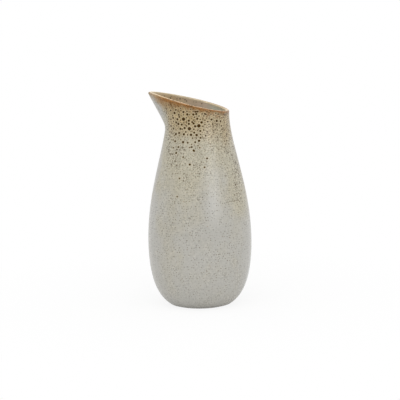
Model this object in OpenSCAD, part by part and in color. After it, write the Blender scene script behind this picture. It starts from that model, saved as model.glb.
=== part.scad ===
// Water carafe: a one-piece stoneware vessel with a beak spout, and the glaze coats fired onto it.
// The table is z = 0, the axis of the pot is Z, and the spout points towards -X. Millimetres.

/* [Body] */
// Height of the spout's tip above the table
height = 231; // [222:0.5:245]
// Widest diameter of the belly
belly_d = 111.5; // [100:0.5:125]
// Height of the widest part of the belly
belly_z = 69; // [60:1:80]
// Diameter of the neck where it stands upright
neck_d = 67.5; // [60:0.5:78]
// Height at which the neck stands upright
neck_z = 206.5; // [190:0.5:212]
// Diameter of the foot where the glazed wall would meet the table
foot_d = 64; // [56:0.5:80]
// Angle between the wall and the table at the foot, in degrees
foot_angle = 29; // [24:1:50]
// Length of the curve handle at the foot
foot_pull = 19.5; // [14:0.5:26]
// Length of the curve handle under the belly
belly_pull_down = 35; // [28:0.5:42]
// Length of the curve handle over the belly
belly_pull_up = 58.5; // [40:0.5:65]
// Length of the curve handle under the neck
neck_pull = 33; // [28:0.5:50]

/* [Spout and rim] */
// Distance from the axis to the tip of the beak
spout_reach = 52.7; // [44:0.1:60]
// Height at which the keel of the beak leaves the neck
spout_z = 193; // [184:0.5:198]
// Half the length of the soft bend between neck and keel
spout_blend = 4; // [2:0.5:6]
// Roundness of the keel, from a crease at 0 to a blunt nose
keel_round = 0.05; // [0.02:0.01:0.2]
// Height of the rim at the back
rim_back_z = 210; // [203:0.5:216]
// Thickness of the rounded lip, coats included
lip_t = 4.2; // [3:0.1:5]
// Height of the rounding over the lip, coats included
lip_h = 1.5; // [1.2:0.1:2.5]

/* [Walls and base] */
// Thickness of the wall, coats included
wall = 5; // [4:0.1:6.5]
// Thickness of the floor over the base recess, coats included
floor_t = 6; // [4:0.5:9]
// Diameter of the flat middle of the floor, inside
floor_d = 34; // [20:1:44]
// Width of the bare ring that stands on the table
foot_ring_w = 6; // [4:0.5:9]
// Depth of the recess inside the foot ring
recess_h = 2.5; // [1.5:0.5:4]
// Slope of the recess wall from upright, in degrees
recess_draft = 35; // [15:1:50]

/* [Glaze coats] */
// Thickness of every fired coat
glaze_t = 0.5; // [0.3:0.05:0.8]
// Height above the table at which the outer coat stops
glaze_line = 1; // [0.75:0.25:6]

/* [Hidden] */
$fn = 144;

// Number of bands in the lower and the upper part of a turned profile
low_bands = 16;
high_bands = 24;
// Columns round the lip, drawn closer together at the beak by this many degrees
columns = 72;
column_shift = 26;
// Rows up each wall of the lip, gathered at the bend by this power, and over its round top
wall_rows = 8;
row_gather = 1.6;
cap_rows = 6;
// The lip stands this far outside the turned body, so that its flat sides clear the round ring
lip_step = 0.16;

belly_r = belly_d / 2;
neck_r = neck_d / 2;
foot_r = foot_d / 2;
lip_r = lip_t / 2;
seam_z = spout_z - spout_blend;
tip_z = height - lip_h;
floor_z = recess_h + floor_t;
// Where the bare clay under the coat meets the table, and the edges of the recess
clay_foot_r = foot_r - glaze_t / sin(foot_angle);
ring_inner_r = clay_foot_r - foot_ring_w;
recess_r = ring_inner_r - recess_h * tan(recess_draft);

// Cubic curve through p[0] and p[3], its direction, and its normal to the right of that direction
function curve(p, t) =
    pow(1 - t, 3) * p[0] + 3 * t * pow(1 - t, 2) * p[1] + 3 * t * t * (1 - t) * p[2] + pow(t, 3) * p[3];
function direction(p, t) =
    pow(1 - t, 2) * (p[1] - p[0]) + 2 * t * (1 - t) * (p[2] - p[1]) + t * t * (p[3] - p[2]);
function normal(p, t) =
    let (d = direction(p, t)) [d[1], -d[0]] / norm(d);
function steps(n) = [for (i = [0 : n]) i / n];
function reversed(list) = [for (i = [len(list) - 1 : -1 : 0]) list[i]];

// The outside from foot to belly, the outside from belly to neck, and the inside of the bowl
foot_handle = foot_r + foot_pull * cos(foot_angle);
outer_low = [
    [foot_r, 0],
    [foot_handle, foot_pull * sin(foot_angle)],
    [belly_r, belly_z - belly_pull_down],
    [belly_r, belly_z]
];
outer_high = [
    [belly_r, belly_z],
    [belly_r, belly_z + belly_pull_up],
    [neck_r, neck_z - neck_pull],
    [neck_r, neck_z]
];
bowl = [
    [floor_d / 2, floor_z],
    [foot_handle - wall, floor_z],
    [belly_r - wall, belly_z - belly_pull_down],
    [belly_r - wall, belly_z]
];

// Place on a rising curve that has height z, by halving, and the outside radius there
function place_at(p, z, low = 0, high = 1, left = 24) =
    let (middle = (low + high) / 2)
    left == 0 ? middle
        : curve(p, middle)[1] < z ? place_at(p, z, middle, high, left - 1)
        : place_at(p, z, low, middle, left - 1);
function radius_at(z) = z >= neck_z ? neck_r : curve(outer_high, place_at(outer_high, z))[0];

// Turned faces as lists of [radius, height], rising, a depth inside the outer face
glaze_start = place_at(outer_low, glaze_line);
function low_face(depth) = [
    for (s = steps(low_bands))
        let (t = glaze_start + s * (1 - glaze_start)) curve(outer_low, t) - depth * normal(outer_low, t)
];
function high_face(depth) = [
    for (s = steps(high_bands))
        let (z = belly_z + s * (seam_z - belly_z)) if (s > 0) [radius_at(z) - depth, z]
];
function bowl_face(depth) = [
    for (s = steps(low_bands)) curve(bowl, s) + (wall - depth) * normal(bowl, s)
];
function inner_face(depth) = concat([[0, bowl_face(depth)[0][1]]], bowl_face(depth), high_face(depth));

// The keel: the neck's radius, plus a lean that starts with a soft bend
keel_lean = (spout_reach - radius_at(tip_z)) / (tip_z - spout_z);
function soft_rise(h) =
    h <= -spout_blend ? 0 : h >= spout_blend ? h : pow(h + spout_blend, 2) / (4 * spout_blend);
function keel_at(z) = radius_at(z) + keel_lean * soft_rise(z - spout_z);

// Plan of the lip at height z: round at the back, and a pointed arch of two arcs at the beak.
// Gives the distance from the axis at angle a from the beak, a depth inside the outer face.
function plan(a, z, depth) =
    let (r = radius_at(z))
    cos(a) <= 0 ? r - depth
        : let (
            keel = keel_at(z),
            arch = keel * r * (keel - keel_round * r) / (r - keel_round * keel),
            shift = (arch - r * r) / (2 * r),
            arc_r = r + shift - depth,
            side = sqrt(pow(keel_round, 2) + (1 - pow(keel_round, 2)) * pow(sin(a), 2))
        ) sqrt(pow(shift * side, 2) + pow(arc_r, 2) - pow(shift, 2)) - shift * side;
// Outward lean of the wall, in degrees, from the change of the plan over a millimetre of height
function lean_at(a, z) = atan(plan(a, z + 0.5, -lip_step) - plan(a, z - 0.5, -lip_step));

// The rim lies in a plane that falls from the tip to the back. Each column has the height of
// the centre of its round lip, found by going back and forth between plan and plane.
rim_slope = (height - rim_back_z) / (spout_reach + neck_r - lip_t);
function rim_at(reach) = height - rim_slope * (spout_reach - lip_r - reach);
function cap_top(lean) = cos(lean) * norm([lip_h, lip_r * sin(lean)]);
function lip_centre_z(a, z = rim_back_z, left = 8) =
    left == 0 ? z
        : let (next = rim_at((plan(a, z, -lip_step) - lip_r) * cos(a)) - cap_top(lean_at(a, z)))
            lip_centre_z(a, next, left - 1);
lip_columns = [
    for (i = [0 : columns - 1])
        let (turn = 360 * i / columns, a = turn - column_shift * sin(turn), z = lip_centre_z(a))
            [a, z, lean_at(a, z)]
];

// Points of the lip, one ring at a time. Over its round top, half an ellipse that stands on the
// leaning wall, angle 0 is the outer shoulder and 180 the inner one; up each wall, the rows run
// from the seam to the shoulder.
function around(a, reach, z) = [-reach * cos(a), -reach * sin(a), z];
function cap_point(c, depth, angle) =
    let (across = (lip_r - depth) * cos(c[2]) * cos(angle), up = (lip_h - depth) * sin(angle))
    [across * cos(c[2]) + up * sin(c[2]) - lip_r, up * cos(c[2]) - across * sin(c[2])];
function cap_ring(depth, angle) = [
    for (c = lip_columns)
        let (p = cap_point(c, depth, angle)) around(c[0], plan(c[0], c[1], -lip_step) + p[0], c[1] + p[1])
];
function shoulder_z(c, depth, angle) = c[1] + cap_point(c, depth, angle)[1];
function outer_ring(depth, rise) = [
    for (c = lip_columns)
        let (z = seam_z + rise * (shoulder_z(c, depth, 0) - seam_z))
            around(c[0], plan(c[0], z, depth - lip_step), z)
];
function inner_ring(depth, rise) = [
    for (c = lip_columns)
        let (
            z = seam_z + rise * (shoulder_z(c, depth, 180) - seam_z),
            thickness = wall + (lip_t - wall) * rise * rise * (3 - 2 * rise)
        ) around(c[0], plan(c[0], z, thickness - depth - lip_step), z)
];
rises = [for (i = [0 : wall_rows - 1]) pow(i / wall_rows, row_gather)];
function outer_rings(depth) = [for (rise = rises) outer_ring(depth, rise)];
function inner_rings(depth) = [for (rise = rises) inner_ring(depth, rise)];
function cap_rings(depth) = [for (s = steps(cap_rows)) cap_ring(depth, 180 * s)];

// Closed skin through rings of points that run up the far side and down the near side.
// The strips after the first "rising" ones split the other way, so that touching skins agree.
module ring_skin(rings, rising) {
    faces = [
        for (i = [0 : len(rings) - 1], j = [0 : columns - 1])
            let (
                next_i = (i + 1) % len(rings),
                next_j = (j + 1) % columns,
                a = i * columns + j,
                b = i * columns + next_j,
                c = next_i * columns + next_j,
                d = next_i * columns + j
            ) each i < rising ? [[a, c, b], [a, d, c]] : [[a, d, b], [b, d, c]]
    ];
    polyhedron([for (ring = rings) each ring], faces, convexity = 6);
}

// The stoneware itself: foot ring, floor, wall, neck, beak and rounded lip
module clay_body() {
    foot = [[0, recess_h], [recess_r, recess_h], [ring_inner_r, 0], [clay_foot_r, 0]];
    outside = concat(low_face(glaze_t), high_face(glaze_t));
    color("tan") union() {
        rotate_extrude() polygon(concat(foot, outside, reversed(inner_face(wall - glaze_t))));
        ring_skin(
            concat(outer_rings(glaze_t), cap_rings(glaze_t), reversed(inner_rings(glaze_t))),
            wall_rows + cap_rows
        );
    }
}

// The reactive glaze on the outside, from the bare foot to the outer shoulder of the lip
module outer_glaze() {
    outside = concat(low_face(0), high_face(0));
    inside = concat(low_face(glaze_t), high_face(glaze_t));
    color("darkkhaki") union() {
        rotate_extrude() polygon(concat(outside, reversed(inside)));
        ring_skin(
            concat(
                outer_rings(0), [cap_ring(0, 0), cap_ring(glaze_t, 0)], reversed(outer_rings(glaze_t))
            ),
            wall_rows
        );
    }
}

// The liner glaze on the inside, from the floor to the inner shoulder of the lip
module liner_glaze() {
    color("lightgray") union() {
        rotate_extrude() polygon(concat(inner_face(wall - glaze_t), reversed(inner_face(wall))));
        ring_skin(
            concat(
                inner_rings(glaze_t), [cap_ring(glaze_t, 180), cap_ring(0, 180)], reversed(inner_rings(0))
            ),
            wall_rows
        );
    }
}

// The iron-brown band over the round lip, between the two coats
module rim_glaze() {
    color("sienna") ring_skin(concat(cap_rings(0), reversed(cap_rings(glaze_t))), cap_rows);
}

// The patch of glaze in the recess inside the foot ring
module base_glaze() {
    coat_r = recess_r + glaze_t * tan(recess_draft);
    color("gainsboro") rotate_extrude()
        polygon([[0, recess_h - glaze_t], [coat_r, recess_h - glaze_t], [recess_r, recess_h], [0, recess_h]]);
}

clay_body();
outer_glaze();
liner_glaze();
rim_glaze();
base_glaze();
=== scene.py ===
# %% [markdown]
# # A stoneware water carafe
#
# The carafe is one piece of fired clay with glaze melted onto it. Its form is simple, so the eye
# goes to the glaze: pale grey at the belly, olive and tan towards the neck, freckled with iron
# spots, and burnt to rust along the lip. This lesson builds every coat as a smooth surface from
# a formula, and then gives each coat a finish made of nodes.

# %% Load the fixed frame
import math

import bpy
import numpy as np
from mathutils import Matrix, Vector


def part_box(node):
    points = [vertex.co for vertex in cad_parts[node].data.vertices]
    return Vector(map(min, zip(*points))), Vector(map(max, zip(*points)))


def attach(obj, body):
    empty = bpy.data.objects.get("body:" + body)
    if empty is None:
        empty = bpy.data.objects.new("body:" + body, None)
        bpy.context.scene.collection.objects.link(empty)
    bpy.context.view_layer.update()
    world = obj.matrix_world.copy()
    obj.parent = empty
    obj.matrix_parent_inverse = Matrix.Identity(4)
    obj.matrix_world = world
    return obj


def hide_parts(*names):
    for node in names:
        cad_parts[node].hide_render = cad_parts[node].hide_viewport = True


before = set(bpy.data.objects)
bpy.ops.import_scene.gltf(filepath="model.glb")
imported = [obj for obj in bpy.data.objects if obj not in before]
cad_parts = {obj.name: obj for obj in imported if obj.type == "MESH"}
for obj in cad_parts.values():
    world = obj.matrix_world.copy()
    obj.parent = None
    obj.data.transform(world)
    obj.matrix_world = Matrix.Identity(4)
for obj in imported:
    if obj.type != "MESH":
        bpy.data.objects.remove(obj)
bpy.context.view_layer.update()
MM = 0.001
print("pieces in the frame:", sorted(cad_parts))

# %% [markdown]
# ## Camera
#
# The picture was taken from a little above the table with a long lens, so that the upright sides
# hardly lean together. The camera could track an empty, but a plain rotation is easier to read:
# stand back along -Y, tip down by the elevation, and turn a little about the view line, because
# the carafe leans a touch to the left in the picture.

# %% Camera
VIEW_ELEVATION = math.radians(10.076)
VIEW_ROLL = math.radians(1.0)
VIEW_DISTANCE = 2153.0 * MM
AIM_HEIGHT = 112.65 * MM
AIM_ACROSS = 0.86 * MM
SENSOR = 36.0
LENS = 180.0

camera_data = bpy.data.cameras.new("photo_camera")
camera_data.sensor_width = SENSOR
camera_data.lens = LENS
camera = bpy.data.objects.new("photo_camera", camera_data)
camera.rotation_mode = "YXZ"
camera.rotation_euler = (math.pi / 2 - VIEW_ELEVATION, 0.0, 0.0)
camera.location = (
    AIM_ACROSS,
    -VIEW_DISTANCE * math.cos(VIEW_ELEVATION),
    AIM_HEIGHT + VIEW_DISTANCE * math.sin(VIEW_ELEVATION),
)
camera.rotation_euler.rotate_axis("Z", -VIEW_ROLL)
bpy.context.scene.collection.objects.link(camera)
bpy.context.scene.camera = camera
bpy.context.scene.view_settings.view_transform = "Standard"
print("picture width at the carafe in mm:", round(VIEW_DISTANCE / MM * SENSOR / LENS, 1))

# %% [markdown]
# ## The sizes of the pot
#
# The overall sizes come from the frame. The others are the ones a potter would note on a card:
# where the belly is widest, where the neck stands upright, how thick the wall is, and how the
# beak leaves the neck. All lengths are in millimetres until a mesh is made.

# %% Sizes in millimetres
coat_low, coat_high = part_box("outer_glaze")
rim_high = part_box("rim_glaze")[1]
BELLY_R = coat_high.x / MM
GLAZE_LINE = coat_low.z / MM
TIP_Z = rim_high.z / MM
BELLY_Z = 69.0
NECK_R = 33.75
NECK_Z = 206.5
FOOT_R = 32.0
FOOT_ANGLE = math.radians(29)
FOOT_PULL = 19.5
BELLY_PULL_DOWN = 35.0
BELLY_PULL_UP = 58.5
NECK_PULL = 33.0
SPOUT_REACH = 52.7
SPOUT_Z = 193.0
SPOUT_BLEND = 4.0
KEEL_ROUND = 0.05
RIM_BACK_Z = 210.0
LIP_T = 4.2
LIP_H = 1.5
WALL = 5.0
FLOOR_T = 6.0
FLOOR_R = 17.0
FOOT_RING_W = 6.0
RECESS_H = 2.5
RECESS_DRAFT = math.radians(35)
GLAZE_T = 0.5
LIP_R = LIP_T / 2
SEAM_Z = SPOUT_Z - SPOUT_BLEND
FLOOR_Z = RECESS_H + FLOOR_T
print("belly radius, glaze line and tip height:", [round(v, 2) for v in (BELLY_R, GLAZE_LINE, TIP_Z)])

# %% [markdown]
# ## The outline
#
# A pot's outline is two swelling curves that meet at the belly. A spline through many points would
# wobble, so each stretch is one cubic curve: its ends are where the clay is, and its handles are
# how strongly the curve leaves each end. The inside of the bowl is a third curve.

# %% Outline curves
FINE_STEPS = 2001


def cubic(points, t):
    """Cubic curve: the four points weighted by the terms of (1 - t + t) cubed."""
    p = np.asarray(points, float)
    t = np.asarray(t, float)[..., None]
    return (1 - t) ** 3 * p[0] + 3 * t * (1 - t) ** 2 * p[1] + 3 * t * t * (1 - t) * p[2] + t**3 * p[3]


def cubic_normal(points, t):
    """Unit normal to the right of the direction of travel, from the curve's derivative."""
    p = np.asarray(points, float)
    t = np.asarray(t, float)[..., None]
    d = (1 - t) ** 2 * (p[1] - p[0]) + 2 * t * (1 - t) * (p[2] - p[1]) + t * t * (p[3] - p[2])
    return np.stack([d[..., 1], -d[..., 0]], -1) / np.linalg.norm(d, axis=-1, keepdims=True)


FOOT_HANDLE = FOOT_R + FOOT_PULL * math.cos(FOOT_ANGLE)
outer_low = [
    (FOOT_R, 0),
    (FOOT_HANDLE, FOOT_PULL * math.sin(FOOT_ANGLE)),
    (BELLY_R, BELLY_Z - BELLY_PULL_DOWN),
    (BELLY_R, BELLY_Z),
]
outer_high = [
    (BELLY_R, BELLY_Z),
    (BELLY_R, BELLY_Z + BELLY_PULL_UP),
    (NECK_R, NECK_Z - NECK_PULL),
    (NECK_R, NECK_Z),
]
bowl = [
    (FLOOR_R, FLOOR_Z),
    (FOOT_HANDLE - WALL, FLOOR_Z),
    (BELLY_R - WALL, BELLY_Z - BELLY_PULL_DOWN),
    (BELLY_R - WALL, BELLY_Z),
]
fine = np.linspace(0, 1, FINE_STEPS)
low_line = cubic(outer_low, fine)
high_line = cubic(outer_high, fine)
glaze_start = float(np.interp(GLAZE_LINE, low_line[:, 1], fine))


def neck_radius(z):
    """Outside radius above the belly: read off the upper curve, and upright above its end."""
    return np.interp(z, high_line[:, 1], high_line[:, 0])


print("outside radius at 70, 140 and 200 mm:", np.round(neck_radius(np.array([70, 140, 200])), 1))

# %% [markdown]
# ## The beak
#
# Above the neck the round plan turns into a pointed arch, as if two thumbs had drawn the clay out.
# Pulling vertices by hand would leave lumps. Here the plan at each height is a half circle at the
# back and two equal arcs that meet at the keel, and the keel leans out along a straight line that
# starts with a soft bend.

# %% Plan of the beak
def soft_rise(h):
    """Nothing below the bend, a straight rise above it, and a parabola across it."""
    bend = (h + SPOUT_BLEND) ** 2 / (4 * SPOUT_BLEND)
    return np.where(h <= -SPOUT_BLEND, 0.0, np.where(h >= SPOUT_BLEND, h, bend))


KEEL_LEAN = (SPOUT_REACH - NECK_R) / (TIP_Z - LIP_H - SPOUT_Z)


def plan(angle, z, depth=0.0):
    """Distance from the axis at an angle from the beak and a height, a depth below the outer face.
    At the back it is the neck's radius. At the front it solves the triangle of an arc whose
    centre is shifted across the axis, so that two arcs meet in a slightly rounded keel."""
    r = neck_radius(z)
    keel = r + KEEL_LEAN * soft_rise(z - SPOUT_Z)
    arch = keel * r * (keel - KEEL_ROUND * r) / (r - KEEL_ROUND * keel)
    shift = (arch - r * r) / (2 * r)
    side = np.sqrt(KEEL_ROUND**2 + (1 - KEEL_ROUND**2) * np.sin(angle) ** 2)
    arc = np.sqrt((shift * side) ** 2 + (r + shift - depth) ** 2 - shift**2) - shift * side
    return np.where(np.cos(angle) > 0, arc, r - depth)


print("reach of the keel at 195, 210 and 225 mm:", np.round(plan(0.0, np.array([195.0, 210.0, 225.0])), 1))

# %% [markdown]
# ## The slanted lip
#
# The rim was cut along a plane that falls from the tip to the back, and then rounded with a damp
# sponge. Each column of the mesh finds the height of its lip by going back and forth between the
# plan, which says how far out the wall is, and the plane, which says how high the rim is there.
# The columns gather at the beak, where the form turns fastest.

# %% Columns and lip heights
COLUMNS = 336
COLUMN_GATHER = math.radians(26)
LIP_PASSES = 12
turn = np.linspace(0, 2 * np.pi, COLUMNS, endpoint=False)
angle = turn - COLUMN_GATHER * np.sin(turn)
RIM_SLOPE = (TIP_Z - RIM_BACK_Z) / (SPOUT_REACH + NECK_R - LIP_T)
lip_z = np.full(COLUMNS, RIM_BACK_Z)
for _ in range(LIP_PASSES):
    # The lean of the wall is its slope over the millimetre round the lip
    lean = np.arctan(plan(angle, lip_z + 0.5) - plan(angle, lip_z - 0.5))
    centre = (plan(angle, lip_z) - LIP_R) * np.cos(angle)
    cap_top = np.cos(lean) * np.hypot(LIP_H, LIP_R * np.sin(lean))
    lip_z = TIP_Z - RIM_SLOPE * (SPOUT_REACH - LIP_R - centre) - cap_top
crest_z = lip_z + cap_top


def lip_arc(depth, sweep):
    """Half an ellipse standing on the leaning wall: sweep 0 is the outer shoulder, pi the inner one."""
    across = (LIP_R - depth) * np.cos(lean) * np.cos(sweep)[:, None]
    up = (LIP_H - depth) * np.sin(sweep)[:, None]
    reach = plan(angle, lip_z) - LIP_R + across * np.cos(lean) + up * np.sin(lean)
    return reach, lip_z + up * np.cos(lean) - across * np.sin(lean)


print("lip height at the tip and at the back:", round(crest_z[0], 2), round(crest_z[COLUMNS // 2], 2))

# %% [markdown]
# ## Rings of points
#
# Every coat is a stack of rings round the axis. A ring is two arrays, how far out and how high, one
# value for each column. Turned stretches have the same value in every column, and the lip's do not.
# The outer and inner faces of the wall are written once, with a depth, so that the clay and its
# coats are the same form at different depths.

# %% Faces of the wall
LOW_ROWS = 56
HIGH_ROWS = 126
LIP_ROWS = 46
BOWL_ROWS = 60
INNER_ROWS = 70
FLAT_RINGS = 12
POLE_R = 1.0
ROW_GATHER = 0.3
level = np.ones(COLUMNS)


def turned(profile):
    """Spread a profile of (radius, height) points over all columns."""
    return profile[:, :1] * level, profile[:, 1:] * level


def joined(*faces):
    """Stack faces on top of each other, in order."""
    return tuple(np.concatenate(parts) for parts in zip(*faces))


def lip_wall(rise, shoulder_z, depth):
    """Rows from the seam to a shoulder of the lip, following the plan at each height."""
    z = SEAM_Z + rise[:, None] * (shoulder_z - SEAM_Z)
    return plan(angle, z, depth), z


def outer_face(depth, low_rows=LOW_ROWS, high_rows=HIGH_ROWS, lip_rows=LIP_ROWS):
    """Foot to lip on the outside: the lower curve moved along its normal, the upper curve moved
    level, and the beak's plan. The rows draw closer together towards the neck."""
    t = np.linspace(glaze_start, 1, low_rows)
    low = cubic(outer_low, t) - depth * cubic_normal(outer_low, t)
    s = np.linspace(0, 1, high_rows)[1:]
    z = BELLY_Z + (SEAM_Z - BELLY_Z) * ((1 + ROW_GATHER) * s - ROW_GATHER * s * s)
    high = np.stack([neck_radius(z) - depth, z], 1)
    shoulder = lip_arc(depth, np.array([0.0]))[1][0]
    rise = np.linspace(0, 1, lip_rows)[1:]
    return joined(turned(low), turned(high), lip_wall(rise, shoulder, depth))


def inner_face(depth, low_rows=BOWL_ROWS, high_rows=INNER_ROWS, lip_rows=LIP_ROWS):
    """Floor to lip on the inside, a depth below the inner face. The wall thins towards the lip."""
    floor = np.stack([np.linspace(POLE_R, FLOOR_R, FLAT_RINGS), np.full(FLAT_RINGS, FLOOR_Z - depth)], 1)
    t = np.linspace(0, 1, low_rows)[1:]
    low = cubic(bowl, t) + depth * cubic_normal(bowl, t)
    z = np.linspace(BELLY_Z, SEAM_Z, high_rows)[1:]
    high = np.stack([neck_radius(z) - WALL + depth, z], 1)
    shoulder = lip_arc(depth, np.array([np.pi]))[1][0]
    rise = np.linspace(0, 1, lip_rows)[1:]
    thickness = WALL + (LIP_T - WALL) * (rise * rise * (3 - 2 * rise))[:, None]
    return joined(turned(floor), turned(low), turned(high), lip_wall(rise, shoulder, thickness - depth))


def flipped(face):
    """The same rows from top to bottom."""
    return face[0][::-1], face[1][::-1]


def points_of(face):
    """Rows of (reach, height) as points in space: the beak points to -X and the front to -Y."""
    reach, z = face
    return np.stack([-reach * np.cos(angle), -reach * np.sin(angle), z], -1)


print("rows on the outer face:", len(outer_face(0.0)[0]), "columns:", COLUMNS)

# %% [markdown]
# ## From rings to a mesh
#
# The rows of a coat run up one side and down the other, so that it is a closed skin with a real
# thickness. Where the rows come back to the start, the skin is a ring. Where they start and end
# on the axis, two fans of triangles close the poles. All faces are made by index arithmetic on
# whole arrays.

# %% Mesh builder
SHARP_EDGE = math.radians(50)


def skin(name, points, poles=None):
    """Quads between neighbouring rows and columns. Without poles the last row joins the first."""
    rows, columns = points.shape[:2]
    index = np.arange(rows * columns).reshape(rows, columns)
    here = index if poles is None else index[:-1]
    above = np.roll(index, -1, 0) if poles is None else index[1:]
    quads = np.stack([here, np.roll(here, -1, 1), np.roll(above, -1, 1), above], -1).reshape(-1, 4)
    vertices = points.reshape(-1, 3)
    faces = quads.tolist()
    if poles is not None:
        vertices = np.concatenate([vertices, np.asarray(poles, float)])
        first, last = index[0], index[-1]
        under = np.full(columns, rows * columns)
        faces += np.stack([under, np.roll(first, -1), first], -1).tolist()
        faces += np.stack([last, np.roll(last, -1), under + 1], -1).tolist()
    mesh = bpy.data.meshes.new(name)
    mesh.from_pydata(vertices * MM, [], faces)
    mesh.shade_smooth()
    mesh.set_sharp_from_angle(angle=SHARP_EDGE)
    mesh.update()
    piece = bpy.data.objects.new(name, mesh)
    bpy.context.scene.collection.objects.link(piece)
    print(name, "faces:", len(faces))
    return piece


def mark(piece, name, values, kind="FLOAT", domain="POINT"):
    """Store a number or a vector per vertex or face corner, for a finish that follows the surface."""
    layer = piece.data.attributes.new(name, kind, domain)
    field = "value" if kind == "FLOAT" else "vector"
    layer.data.foreach_set(field, np.asarray(values, np.float32).ravel())


print("edges stay sharp above", round(math.degrees(SHARP_EDGE)), "degrees")

# %% [markdown]
# ## Iron spots
#
# Where grains of iron melted through the glaze they left dark spots, the largest in a loose swarm under the
# beak's side. A texture could strew them all, but the swarm is what one remembers of this pot. So on the
# side that faces the camera they are two lists, with places found in the picture and written in millimetres:
# the bold ones as (across, height, diameter), and small ones of one size between them. The rest are strewn
# by a seeded generator, larger and denser towards the lip. Each vertex keeps the distance to the edge of its
# nearest spot: a distance changes evenly between vertices, so the spot's edge stays round on a coarse mesh.

# %% Spots
BOLD_SPOTS = [
    (-15, 205, 3.9), (-9.5, 203.5, 2.6), (-0.5, 205.5, 2.6), (1, 198, 3.9), (-9, 195, 3.9),
    (-14, 195.5, 2.8), (-17, 199, 2.6), (-20.5, 199.5, 2.9), (-23, 201, 2.6), (-15, 189, 2.8),
    (-7.5, 188.6, 2.8), (-1.5, 188.4, 2.9), (-4, 191, 2.4), (-16, 180.9, 2.9), (1, 182.5, 2.6),
    (-24.5, 181.1, 2.6), (-23.5, 169.2, 2.6), (-11, 210, 2.8), (-15, 212.5, 2.6), (-4.5, 210, 2.6),
    (-1.5, 210.5, 2.4), (0, 213, 2.4), (-24.5, 211, 2.9), (-21.5, 204.5, 2.6), (-19.5, 207, 2.3),
    (-20, 209.5, 2.4), (-26, 205.5, 2.4), (-28.5, 196.5, 2.6), (-26, 194, 2.4), (-18.5, 194.5, 2.6),
    (-9.5, 200, 2.6), (-3, 197.5, 2.6), (4, 201.5, 2.9), (2.5, 192.5, 2.3), (-23.5, 188.5, 2.9),
    (-20, 190, 2.6), (-21, 175.4, 2.4), (-5, 172.6, 2.3), (-7, 176, 2.3), (20, 202, 2.9),
    (24, 201, 2.6), (14.5, 204, 2.6), (29, 207, 2.9), (9, 164, 2.3), (-6, 202, 2.2),
    (-4.5, 200.5, 2.3), (-11, 180.5, 2.2), (-3, 181, 2.2), (2.5, 185.5, 2.2), (-13, 191.5, 2.1),
    (-28.5, 213.5, 2.3), (-23, 214.5, 2.3), (-2.5, 213, 2.2), (7.5, 210.5, 2.2), (10.5, 202, 2.3),
    (25, 196, 2.2), (21.5, 209, 2.1), (6, 193.5, 2.1), (8, 187.5, 2.1), (-26.5, 174.2, 2.2),
    (-16.2, 165.3, 2.1), (-9.2, 158.1, 2.5), (-4.5, 172, 2.3), (6.3, 155, 2.1), (-20.4, 143.3, 2.0),
    (-23.1, 124.6, 2.0), (45, 125.8, 2.1),
]
SMALL_SPOTS = [
    (-15, 209.5), (-8.5, 209.8), (-12, 206.5), (-4.7, 213.3), (-11.2, 213.3), (-7.4, 215.5),
    (-18, 216.2), (-3.5, 207), (2.5, 204.5), (1.3, 208.2), (4.6, 210.4), (6.4, 208.2),
    (9, 209.5), (14, 209.6), (17, 208.4), (19.2, 210.2), (11.7, 199.2), (20.4, 192.3),
    (27.2, 201.7), (-22.3, 197.3), (-25.6, 201.7), (-16.6, 194.3), (-4.4, 194.5), (-11, 188.6),
    (-5.9, 185.3), (2.6, 188.9), (-6.8, 178.9), (-9.3, 175.4), (-0.2, 177.3), (1.6, 175.4),
    (-19.9, 187.2), (-25.3, 186.6), (-18.4, 183.2), (-28, 182.2), (-26.5, 208), (-31, 206.5),
]
SMALL_SPOT = 1.7
STREWN = 420
SPOT_SEED = 7
SPOT_TOP_Z = 218.0
SPOT_LOW_Z = 120.0
SPOT_LARGEST = 2.6
SPOT_SMALLEST = 1.0
STREWN_FROM_Y = -8.0
SWARM_TURN = 2.2
SWARM_DRIFT = 0.03
SWARM_FEWEST = 0.25
FAR_FROM_SPOTS = 50.0
SWEEP_STEPS = 721


def front_turn(across, z):
    """Angle from the beak at which the outer face on the camera's side lies that far across."""
    sweep = np.linspace(0, np.pi, SWEEP_STEPS)
    return np.interp(across, -plan(sweep, z) * np.cos(sweep), sweep)


def on_wall(turns, z):
    """Points of the outer face at angles from the beak and heights."""
    reach = plan(turns, z)
    return np.stack([-reach * np.cos(turns), -reach * np.sin(turns), z], 1)


listed = np.array(BOLD_SPOTS + [(across, z, SMALL_SPOT) for across, z in SMALL_SPOTS])
listed_turn = np.array([front_turn(across, z) for across, z in listed[:, :2]])
listed_points = on_wall(listed_turn, listed[:, 1])
dice = np.random.default_rng(SPOT_SEED)
spot_turn = dice.uniform(0, 2 * np.pi, STREWN)
spot_up = np.sqrt(dice.uniform(0, 1, STREWN))
spot_z = SPOT_LOW_Z + (SPOT_TOP_Z - SPOT_LOW_Z) * spot_up
spot_d = SPOT_SMALLEST + (SPOT_LARGEST - SPOT_SMALLEST) * spot_up**2 * dice.uniform(0, 1, STREWN) ** 2
# Two loose swarms round the pot, which drift as they rise
swarm = 0.5 + 0.5 * np.sin(2 * spot_turn + SWARM_TURN + SWARM_DRIFT * spot_z)
swarm = SWARM_FEWEST + (1 - SWARM_FEWEST) * swarm
kept = dice.uniform(0, 1, STREWN) < swarm * spot_up**2
strewn = on_wall(spot_turn, spot_z)
kept &= strewn[:, 1] > STREWN_FROM_Y
spots = np.concatenate([listed_points, strewn[kept]])
spot_radius = np.concatenate([listed[:, 2], spot_d[kept]]) / 2


def edge_of_spots(points):
    """Distance to the edge of the nearest spot: to its centre, less its radius."""
    nearest = np.full(points.shape[:-1], FAR_FROM_SPOTS)
    for middle, radius in zip(spots, spot_radius):
        nearest = np.minimum(nearest, np.linalg.norm(points - middle, axis=-1) - radius)
    return nearest


print("spots listed and strewn:", len(listed), int(kept.sum()))

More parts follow.
